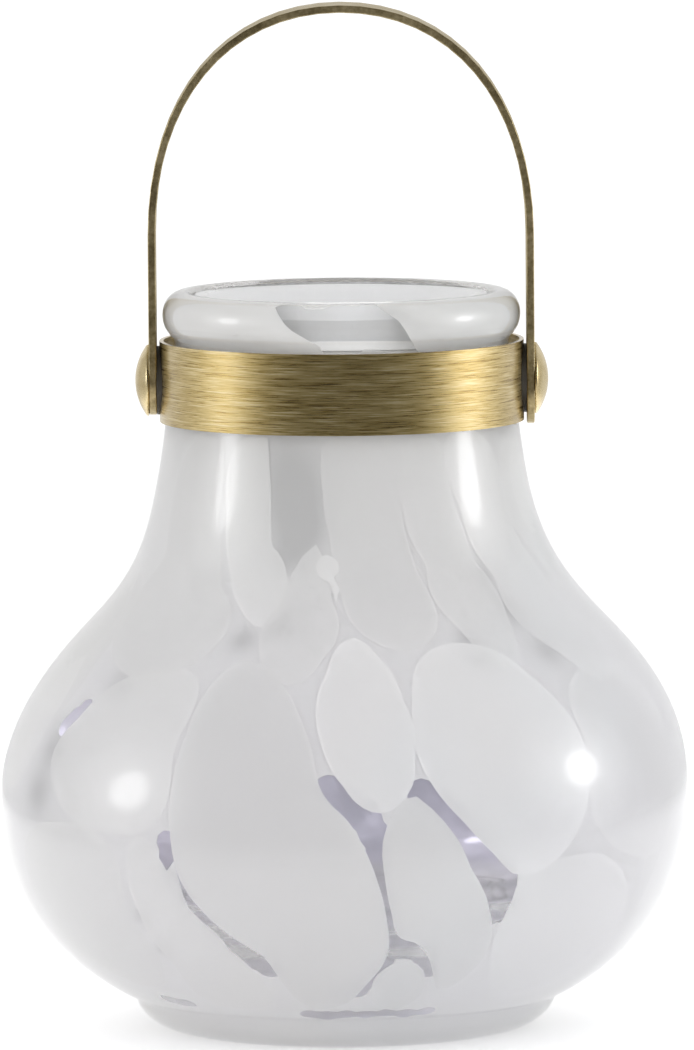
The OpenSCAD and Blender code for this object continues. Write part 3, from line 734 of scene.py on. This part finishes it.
# The chips that show most at the front, nearest the surface first: tone, then the corners of the outline
UPPERMOST = [
    (0.985, [(1, 100), (7, 95), (10.5, 86), (11.7, 75), (10.6, 66), (6.5, 61), (2.5, 62.5), (-1, 68),
             (-5, 78), (-5, 91)]),
    (0.93, [(11, 24.6), (14.6, 22.5), (16, 18), (15, 13), (11, 10.6), (7, 12.5), (5.2, 17), (7.2, 22.3)]),
    # The third is a near-white sliver of a chip: painted light, a bright streak on the neck
    (0.995, [(-6.2, 118), (-4.6, 118), (-3.4, 113), (-2.6, 107.5), (-4.6, 112)]),
]
FRONT = [
    (0.925, [(-22, 95), (-14, 91), (-8, 81), (-4.4, 67), (1, 58), (4.8, 47), (7, 36), (7.8, 27), (4, 18),
             (-2, 12), (-9, 12), (-13.5, 20.5), (-15.5, 25.7), (-23.5, 34), (-28.8, 45), (-30.3, 58),
             (-30, 76), (-28, 89)]),
    (0.93, [(10.5, 65), (14, 62), (17.8, 56), (21.3, 47), (25, 38), (27, 30), (25, 20), (20, 16),
            (17, 19.5), (16, 24.5), (13, 28.6), (9.6, 30.5), (7.8, 37), (6.6, 45), (6.6, 57)]),
    (0.985, [(12, 86), (11.9, 75), (14.5, 67), (17.5, 61.5), (20.5, 57), (25, 50.5), (30, 44.5), (38, 48),
             (44, 60), (45, 74), (40, 88), (31, 97), (22, 98), (15, 95)]),
    (0.945, [(-9, 120.5), (-5.8, 117), (-4, 108), (-5, 96), (-10, 90), (-17, 92), (-20, 98), (-17.5, 107),
             (-14, 115)]),
    (0.97, [(30.5, 44), (29.6, 39), (28, 32), (30, 20), (36, 13), (48, 13), (57, 21), (59, 34), (52, 45),
            (40, 48)]),
    (0.95, [(-31.5, 54), (-30.8, 46), (-28, 38), (-22, 28), (-17.5, 20.5), (-16, 14), (-22, 11), (-33, 12),
            (-35, 22), (-38, 34), (-39, 46), (-36, 55)]),
    (0.975, [(-23, 143), (-23, 128), (-21.5, 120), (-17, 115), (-15.8, 109), (-18, 103), (-22, 102),
             (-28, 106), (-34, 114), (-38, 126), (-36, 143)]),
    (0.94, [(-6.5, 143), (-6, 132), (-4, 121), (-2, 110), (4, 100), (14, 97), (21, 101), (20, 114),
            (18, 127), (20, 143)]),
    (0.955, [(20, 143), (19, 127), (23, 115), (27, 101), (31, 92), (37, 93), (42, 104), (39, 116),
             (36, 129), (34, 143)]),
    (0.97, [(35, 143), (39, 126), (44, 111), (49, 95), (58, 87), (67, 92), (66, 106), (60, 122),
            (54, 143)]),
    (0.94, [(-40, 143), (-42, 126), (-36, 111), (-29, 100), (-38, 91), (-54, 91), (-66, 100), (-62, 116),
            (-56, 143)]),
    (0.955, [(-32, 91), (-31.5, 75), (-32.5, 58), (-44, 54), (-56, 60), (-61, 70), (-57, 80), (-44, 91)]),
    (0.96, [(46, 86), (46, 72), (45, 58), (56, 46), (70, 48), (76, 64), (72, 82), (60, 90)]),
    (0.94, [(-42, 50), (-41, 36), (-38, 22), (-46, 15), (-60, 18), (-70, 32), (-68, 48), (-56, 55)]),
    (0.975, [(-27, 177), (-18, 171), (-5, 162), (-16, 157), (-45, 156), (-75, 160), (-80, 170), (-60, 178),
             (-35, 178)]),
    (0.975, [(12, 178), (21, 170), (34, 162), (48, 158), (75, 160), (80, 170), (60, 178), (35, 178)]),
    (0.96, [(2, 163.5), (8, 165), (17, 164), (26, 161), (24, 156), (12, 154), (-2, 155), (-6, 159)]),
]


def cracks(count, dice):
    """Chains of clear spots round the sides and back, slanting the way the front ones do. None lies
    straight behind the front windows, which would show it."""
    spots = []
    first = 1.75  # the least angle from the front, in radians
    pace = 3.4 * MM
    plain = distance_at(45 * MM)
    while len(spots) < count:
        angle = dice.uniform(first, 2 * math.pi - first)
        distance = dice.uniform(distance_at(14 * MM), distance_at(118 * MM))
        slant = dice.gauss(2.0, 0.5)
        for k in range(dice.randint(3, 7)):
            if math.hypot((angle - math.pi) / 0.6, (distance - plain) / (34 * MM)) > 1:
                spots.append((angle, distance, dice.uniform(1.0, 3.4) * MM))
            angle += pace * math.cos(slant) / along_outside(distance)[0]
            distance += pace * math.sin(slant)
            slant += dice.gauss(0, 0.25)
    return spots


def scattered(spots, count, dice):
    """Chips strewn over the sides and back at random, but not over the clear spots."""
    chips = []
    while len(chips) < count:
        distance = dice.uniform(outside_at[foot_edge], outside_at[-1])
        radius = along_outside(distance)[0]
        angle = dice.uniform(-math.pi, math.pi)
        size = dice.uniform(0.5, 1.2) * (0.4 + 0.6 * radius / BELLY)
        lean = math.radians(dice.gauss(8, 14))
        if dice.random() > radius / BELLY or abs(angle) < 1.0 + 12 * MM * size / radius:
            continue
        chip = strewn_chip(angle, distance, 24 * MM * size, 12.5 * MM * size, lean, dice)
        if not chip.covers(spots):
            chips.append(chip)
    return chips


def frit(name, chips, first_depth, last_depth, material):
    """All the chips of one piece. Each is a (tone, chip) pair, and the first lies nearest the surface."""
    bm = bmesh.new()
    tones = bm.verts.layers.float.new("tone")
    rims = bm.verts.layers.float.new("rim")
    for i, (tone, chip) in enumerate(chips):
        add_chip(bm, chip, first_depth + (last_depth - first_depth) * i / len(chips), tone, tones, rims)
    return new_piece(name, as_mesh(name, bm), material, "root", "art_glass")


THIN_STRENGTH = 1.6
THIN_MOST = 0.22


def thinness(angle, distance, thin):
    """How much greyer the opal layer is here."""
    total = 0.0
    for centre_angle, centre_distance, size, much in thin:
        right, up = local(angle, distance, (centre_angle, centre_distance))
        total += THIN_STRENGTH * much * math.exp(-(right * right + up * up) / (size * size))
    return min(total, THIN_MOST)


def casing(spots, thin, material):
    """The opal layer behind the chips: a thin sheet in the wall, with smooth holes at the clear spots."""
    columns = 216
    rows = 138
    start = 4.0 * MM
    depth = 1.45 * MM
    margin = 1.3 * MM
    step = (outside_at[-1] - start) / rows
    snap = 0.7 * step

    def nearest(angle, distance):
        best = (1.0, 0.0, 0.0)
        for spot in spots:
            right, up = local(angle, distance, spot)
            gap = math.hypot(right, up) - spot[2] - margin
            if gap < best[0]:
                best = (gap, right, up)
        return best

    bm = bmesh.new()
    tones = bm.verts.layers.float.new("tone")
    grid = []
    for j in range(rows + 1):
        row = []
        for i in range(columns):
            angle = 2 * math.pi * (i + 0.5 * (j % 2)) / columns - math.pi
            distance = start + j * step
            gap, right, up = nearest(angle, distance)
            if abs(gap) < snap:
                size = math.hypot(right, up)
                angle -= gap * right / size / along_outside(distance)[0]
                distance = min(max(distance - gap * up / size, start), outside_at[-1])
                gap = 0.0
            vertex = bm.verts.new(in_wall(angle, distance, depth))
            vertex[tones] = 0.99 + 0.012 * noise.noise(vertex.co * 45.0) - thinness(angle, distance, thin)
            row.append((vertex, gap))
        grid.append(row)
    for j in range(rows):
        for i in range(columns):
            k = (i + 1) % columns
            if j % 2:
                triangles = (
                    (grid[j][i], grid[j + 1][k], grid[j + 1][i]), (grid[j][i], grid[j][k], grid[j + 1][k]))
            else:
                triangles = (
                    (grid[j][i], grid[j][k], grid[j + 1][i]), (grid[j][k], grid[j + 1][k], grid[j + 1][i]))
            for corners in triangles:
                if sum(gap for vertex, gap in corners) > 0 and min(gap for vertex, gap in corners) >= 0:
                    bm.faces.new([vertex for vertex, gap in corners]).smooth = True
    for edge in bm.edges:
        edge.smooth = not edge.is_boundary
    loose = [vertex for vertex in bm.verts if not vertex.link_faces]
    bmesh.ops.delete(bm, geom=loose, context="VERTS")
    piece = new_piece("jar_casing", as_mesh("jar_casing", bm), material, "root", "art_glass")
    sheet = piece.modifiers.new("sheet", "SOLIDIFY")
    sheet.thickness = 0.3 * MM
    sheet.offset = -1.0
    return piece


def all_frit():
    material = opal_frit()
    dice = random.Random(7)
    spots = [(math.radians(degrees), distance_at(height * MM), size * MM) for degrees, height, size in CLEAR]
    spots += cracks(70, dice)
    thin = [
        (math.radians(degrees), distance_at(height * MM), size * MM, much)
        for degrees, height, size, much in THIN
    ]
    layers = (
        ("jar_frit_top", UPPERMOST, 1.06 * MM, 1.08 * MM),
        ("jar_frit_front", FRONT, 1.16 * MM, 1.36 * MM),
    )
    for name, drawn, first, last in layers:
        frit(name, [(tone, drawn_chip(corners)) for tone, corners in drawn], first, last, material)
    rest = [(dice.uniform(0.94, 0.99), chip) for chip in scattered(spots, 130, dice)]
    frit("jar_frit_back", rest, 1.28 * MM, 1.42 * MM, material)
    casing(spots, thin, material)


def softened(node, slot, material, bevel, segments=2, body="root"):
    """A piece with a CAD node's shape, its facets joined into whole faces and its edges rounded."""
    bm = bmesh.new()
    bm.from_mesh(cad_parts[node].data)
    bmesh.ops.remove_doubles(bm, verts=bm.verts, dist=1e-6)
    bmesh.ops.dissolve_limit(bm, angle_limit=math.radians(0.6), verts=bm.verts, edges=bm.edges)
    bmesh.ops.recalc_face_normals(bm, faces=bm.faces)
    for face in bm.faces:
        face.smooth = True
    name = node + "_shown"
    piece = new_piece(name, as_mesh(name, bm), material, body, slot, node)
    edges = piece.modifiers.new("edges", "BEVEL")
    edges.width = bevel
    edges.segments = segments
    edges.limit_method = "ANGLE"
    edges.angle_limit = math.radians(35)
    piece.modifiers.new("normals", "WEIGHTED_NORMAL").keep_sharp = True
    return piece


def paint(material, *nodes):
    for node in nodes:
        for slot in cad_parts[node].material_slots:
            slot.material = material


def metalwork():
    band = brass_band()
    rivet = brass_rivet()
    nylon = moulded("black_nylon", (0.022, 0.018, 0.012), (0.05, 0.042, 0.03), 0.5, 900.0, 0.2)
    softened("collar_band", "brushed_brass", band, 0.18 * MM)
    softened("handle_strap", "strap_brass", brass_strap(), 0.28 * MM, 3, "handle")
    for side in ("left", "right"):
        softened("pivot_rivet_" + side, "rivet_brass", rivet, 0.22 * MM, 3)
        softened("pivot_washer_" + side, "black_nylon", nylon, 0.08 * MM)
    softened("collar_lap_rivets", "brushed_brass", rivet, 0.15 * MM)


def module():
    plastic = moulded("module_plastic", grey(0.56), (0.66, 0.67, 0.69), 0.5, 1500.0, 0.15)
    silicone = moulded("pale_silicone", grey(0.66), grey(0.78), 0.48, 700.0, 0.1)
    black = moulded("black_switch", grey(0.015), grey(0.035), 0.42, 1500.0, 0.15)
    rubber = moulded("black_rubber", grey(0.015), grey(0.03), 0.6, 800.0, 0.15)
    leads = moulded("lead_red", (0.30, 0.02, 0.02), (0.50, 0.05, 0.04), 0.3, 600.0, 0.05)
    steel = brushed_steel()
    paint(plastic, "module_housing", "module_base")
    paint(silicone, "mouth_gasket", "collar_liner")
    paint(black, "switch_body", "switch_slider")
    paint(rubber, "base_seal")
    paint(leads, "solar_leads")
    paint(steel, "base_screws", "battery_contact_plus", "battery_spring")
    paint(steel, "backing_washer_left", "backing_washer_right")
    paint(photovoltaic(), "solar_cell")
    paint(board(), "circuit_board")
    paint(sleeve(), "battery")
    paint(epoxy(), "led_lamp")
    paint(frosted(), "led_lens")
    window = softened("solar_window", "clear_plastic", clear_sheet(), 0.1 * MM, 2, "module")
    window.visible_shadow = False
    window.visible_diffuse = False


# ---------------------------------------------------------------- floor, light and camera

FLOOR_RADIUS = 0.5


def floor():
    """A round white table top, set back so that the metal reflects the dark room in front of it."""
    bm = bmesh.new()
    bmesh.ops.create_circle(bm, cap_ends=True, segments=96, radius=FLOOR_RADIUS)
    mesh = as_mesh("floor", bm)
    nodes = new_material("floor_white")
    cloud = nodes.noise(nodes.coordinates("Object"), 3.0)
    colour = nodes.mix(cloud, rgba(0.80, 0.80, 0.805), rgba(0.82, 0.82, 0.82))
    surface = nodes.principled(
        Base_Color=colour, Roughness=0.75, Specular_IOR_Level=0.1,
        Emission_Color=rgba(1, 1, 1), Emission_Strength=0.3)
    radius = nodes.add("ShaderNodeVectorMath", {"operation": "LENGTH"})
    nodes.put(radius, 0, nodes.coordinates("Object"))
    fade = nodes.range(radius.outputs["Value"], 0.26, 0.98 * FLOOR_RADIUS, 0.0, 1.0)
    nothing = nodes.add("ShaderNodeBsdfTransparent").outputs[0]
    mesh.materials.append(nodes.finish(nodes.mix_shaders(fade, surface, nothing)))
    sheet = bpy.data.objects.new("floor", mesh)
    scene.collection.objects.link(sheet)
    sheet.location = (0.0, 0.2, -0.00005)


EVEN = 1.42       # how bright the room is to every ray but mirrored rays and the camera's own
BACKDROP = 1.1    # how bright the room is to the camera's own rays


def studio():
    """A white room. Mirrored rays see it dark on the camera's side and bright behind, which gives the metal
    and the glass their shading. All other rays get the same light from all round."""
    world = bpy.data.worlds.new("studio")
    world.cycles.sampling_method = "NONE"
    scene.world = world
    nodes = Nodes(world)
    x, y, z = nodes.add("ShaderNodeSeparateXYZ", Vector=nodes.coordinates("Generated")).outputs
    walls = nodes.ramp(nodes.range(y, -1.0, 1.0, 0.0, 1.0), [
        (0.0, grey(0.055)), (0.16, grey(0.06)), (0.3, grey(0.15)), (0.45, grey(0.44)), (0.75, grey(0.52)),
        (0.9, grey(0.75)), (1.0, grey(0.85)),
    ])
    below = nodes.range(z, -0.42, -0.10, 1.0, 0.0, "SMOOTHSTEP")
    mirrored_room = nodes.mix(below, walls, rgba(0.7, 0.7, 0.7))
    ray = nodes.add("ShaderNodeLightPath").outputs
    mirrored = nodes.math("GREATER_THAN", ray["Is Glossy Ray"], ray["Is Transmission Ray"])
    plain_room = nodes.mix(ray["Is Camera Ray"], (*grey(EVEN), 1), (*grey(BACKDROP), 1))
    seen = nodes.mix(mirrored, plain_room, mirrored_room)
    nodes.finish(nodes.add("ShaderNodeBackground", Color=seen).outputs[0], "ShaderNodeOutputWorld")


LAMP_DISTANCE = 1.5
LAMP_HALF_SPREAD = math.radians(28)


def softbox(name, azimuth, elevation, radiance):
    """A round light aimed at the jar, 56 degrees across, brightest in its middle and fading out to its edge.
    Azimuth 0 is the camera's side, and it grows towards +X."""
    tilt = math.radians(elevation)
    way = Vector(about(math.cos(tilt), math.radians(azimuth), math.sin(tilt)))
    light = bpy.data.lights.new(name, "AREA")
    light.shape = "DISK"
    light.size = 2 * LAMP_DISTANCE * math.tan(LAMP_HALF_SPREAD)
    light.energy = math.pi ** 2 * (light.size / 2) ** 2  # a radiance of 1, before the strength below
    nodes = Nodes(light)
    away = nodes.add("ShaderNodeVectorMath", {"operation": "DISTANCE"})
    nodes.put(away, 0, nodes.add("ShaderNodeNewGeometry").outputs["Parametric"])
    nodes.put(away, 1, (0.5, 0.5, 0.0))
    fall = nodes.add("ShaderNodeFloatCurve", Value=away.outputs["Value"])
    curve = fall.mapping.curves[0]
    curve.points[0].location = (0.0, 1.0)
    curve.points[1].location = (0.5, 0.0)
    for share, level in ((0.09, 0.92), (0.15, 0.34), (0.24, 0.17), (0.36, 0.07)):
        curve.points.new(share, level)
    fall.mapping.update()
    strength = nodes.math("MULTIPLY", fall.outputs[0], radiance)
    nodes.finish(nodes.add("ShaderNodeEmission", Strength=strength).outputs[0], "ShaderNodeOutputLight")
    lamp = bpy.data.objects.new(name, light)
    scene.collection.objects.link(lamp)
    lamp.location = Vector((0, 0, 100 * MM)) + LAMP_DISTANCE * way
    lamp.rotation_euler = (-way).to_track_quat("-Z", "Y").to_euler()
    lamp.visible_diffuse = False


def camera():
    """The photograph's view: 2.8 m away, looking down by 6 degrees, and turned by 0.4 degrees."""
    data = bpy.data.cameras.new("camera")
    data.sensor_width = 36.0
    data.lens = 403.0
    data.clip_start = 0.1
    eye = bpy.data.objects.new("camera", data)
    scene.collection.objects.link(eye)
    eye.location = (0.0, -2.790, 0.399)
    aim = Vector((0.001, 0.0, 0.1201))
    roll = Quaternion((0, 0, 1), math.radians(-0.4))
    eye.rotation_euler = ((aim - eye.location).to_track_quat("-Z", "Y") @ roll).to_euler()
    scene.camera = eye


camera()
floor()
studio()
softbox("softbox_right", 86, 11, 7.8)
softbox("softbox_left", -77, 11, 6.0)
scene.view_settings.view_transform = "Standard"
scene.cycles.diffuse_bounces = 16
scene.cycles.transmission_bounces = 32
scene.cycles.max_bounces = 40
glass_body()
all_frit()
metalwork()
module()
